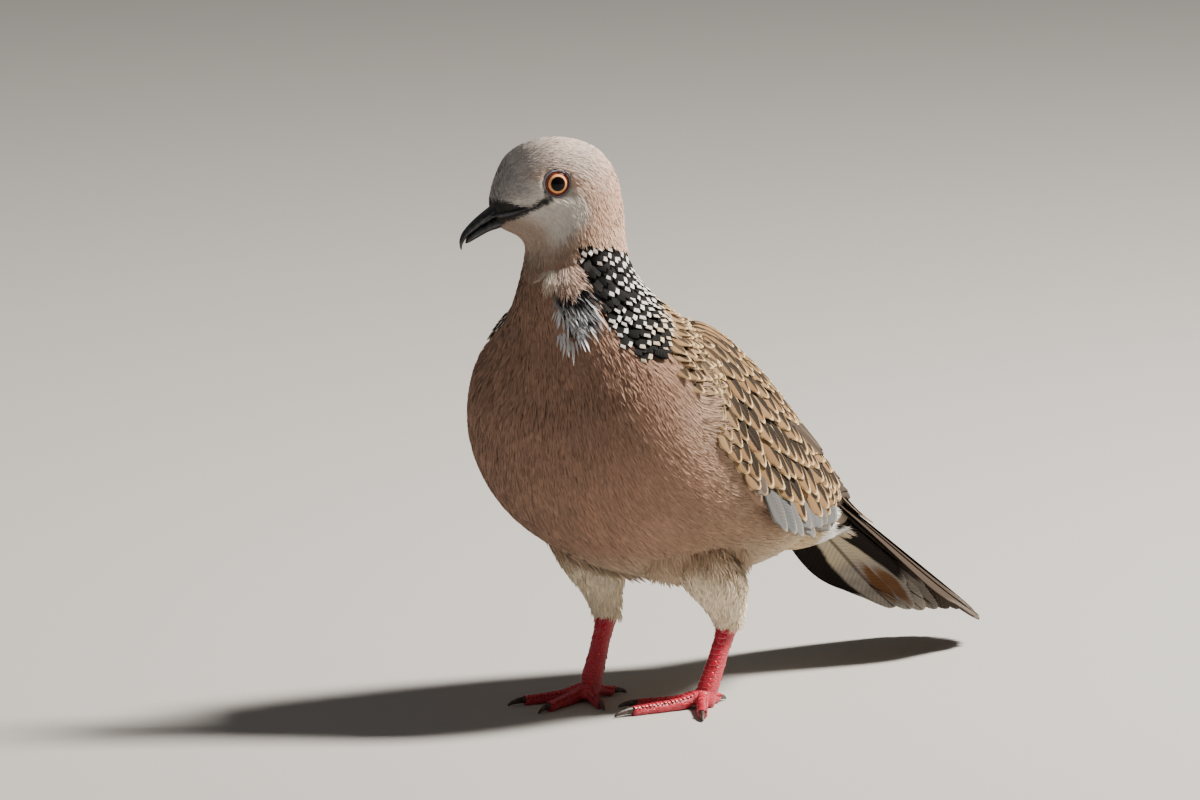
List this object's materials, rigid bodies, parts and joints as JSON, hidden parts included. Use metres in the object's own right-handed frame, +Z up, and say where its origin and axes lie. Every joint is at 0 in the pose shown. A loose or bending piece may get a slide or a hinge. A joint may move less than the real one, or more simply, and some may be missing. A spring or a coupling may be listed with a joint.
{
  "type": "spotted dove model",
  "caption": "Life-size still model of a standing spotted dove with its head turned aside, grey-brown scaled wings, a spotted neck patch and a long tail.",
  "frame": {"origin": "on the ground, under the middle of the bird's bounding box", "axes": "+Z up; the bird faces -Y, so its tail points to +Y; its own left side is +X"},
  "size_m": [0.075, 0.207, 0.1613],
  "materials": {
    "body_plumage": "soft overlapping contour feathers, pinkish brown to pale grey",
    "neck_plumage": "small black feathers with paired white tips",
    "wing_plumage": "olive brown feathers with dark wedges and buff fringes",
    "tail_plumage": "long brown feathers, outer ones black and white",
    "pale_plumage": "loose cream and white feathers",
    "leg_skin": "bare red skin with overlapping scutes",
    "bill_horn": "dark horn with a blue-grey sheen",
    "claw_horn": "dark horn",
    "eye": "wet orange iris with a black pupil"
  },
  "bodies": {
    "root": {"head": "body_plumage", "upper_bill": "bill_horn", "lower_bill": "bill_horn", "eye_left": "eye", "eye_right": "eye", "neck": "neck_plumage", "trunk": "body_plumage", "wing_left": "wing_plumage", "wing_right": "wing_plumage", "flight_feathers_left": "wing_plumage", "flight_feathers_right": "wing_plumage", "tail": "tail_plumage", "undertail": "pale_plumage", "thigh_left": "pale_plumage", "thigh_right": "pale_plumage", "shank_left": "leg_skin", "shank_right": "leg_skin", "foot_left": "leg_skin", "foot_right": "leg_skin", "claw_left_middle": "claw_horn", "claw_left_inner": "claw_horn", "claw_left_outer": "claw_horn", "claw_left_hind": "claw_horn", "claw_right_middle": "claw_horn", "claw_right_inner": "claw_horn", "claw_right_outer": "claw_horn", "claw_right_hind": "claw_horn"}
  },
  "joints": []
}
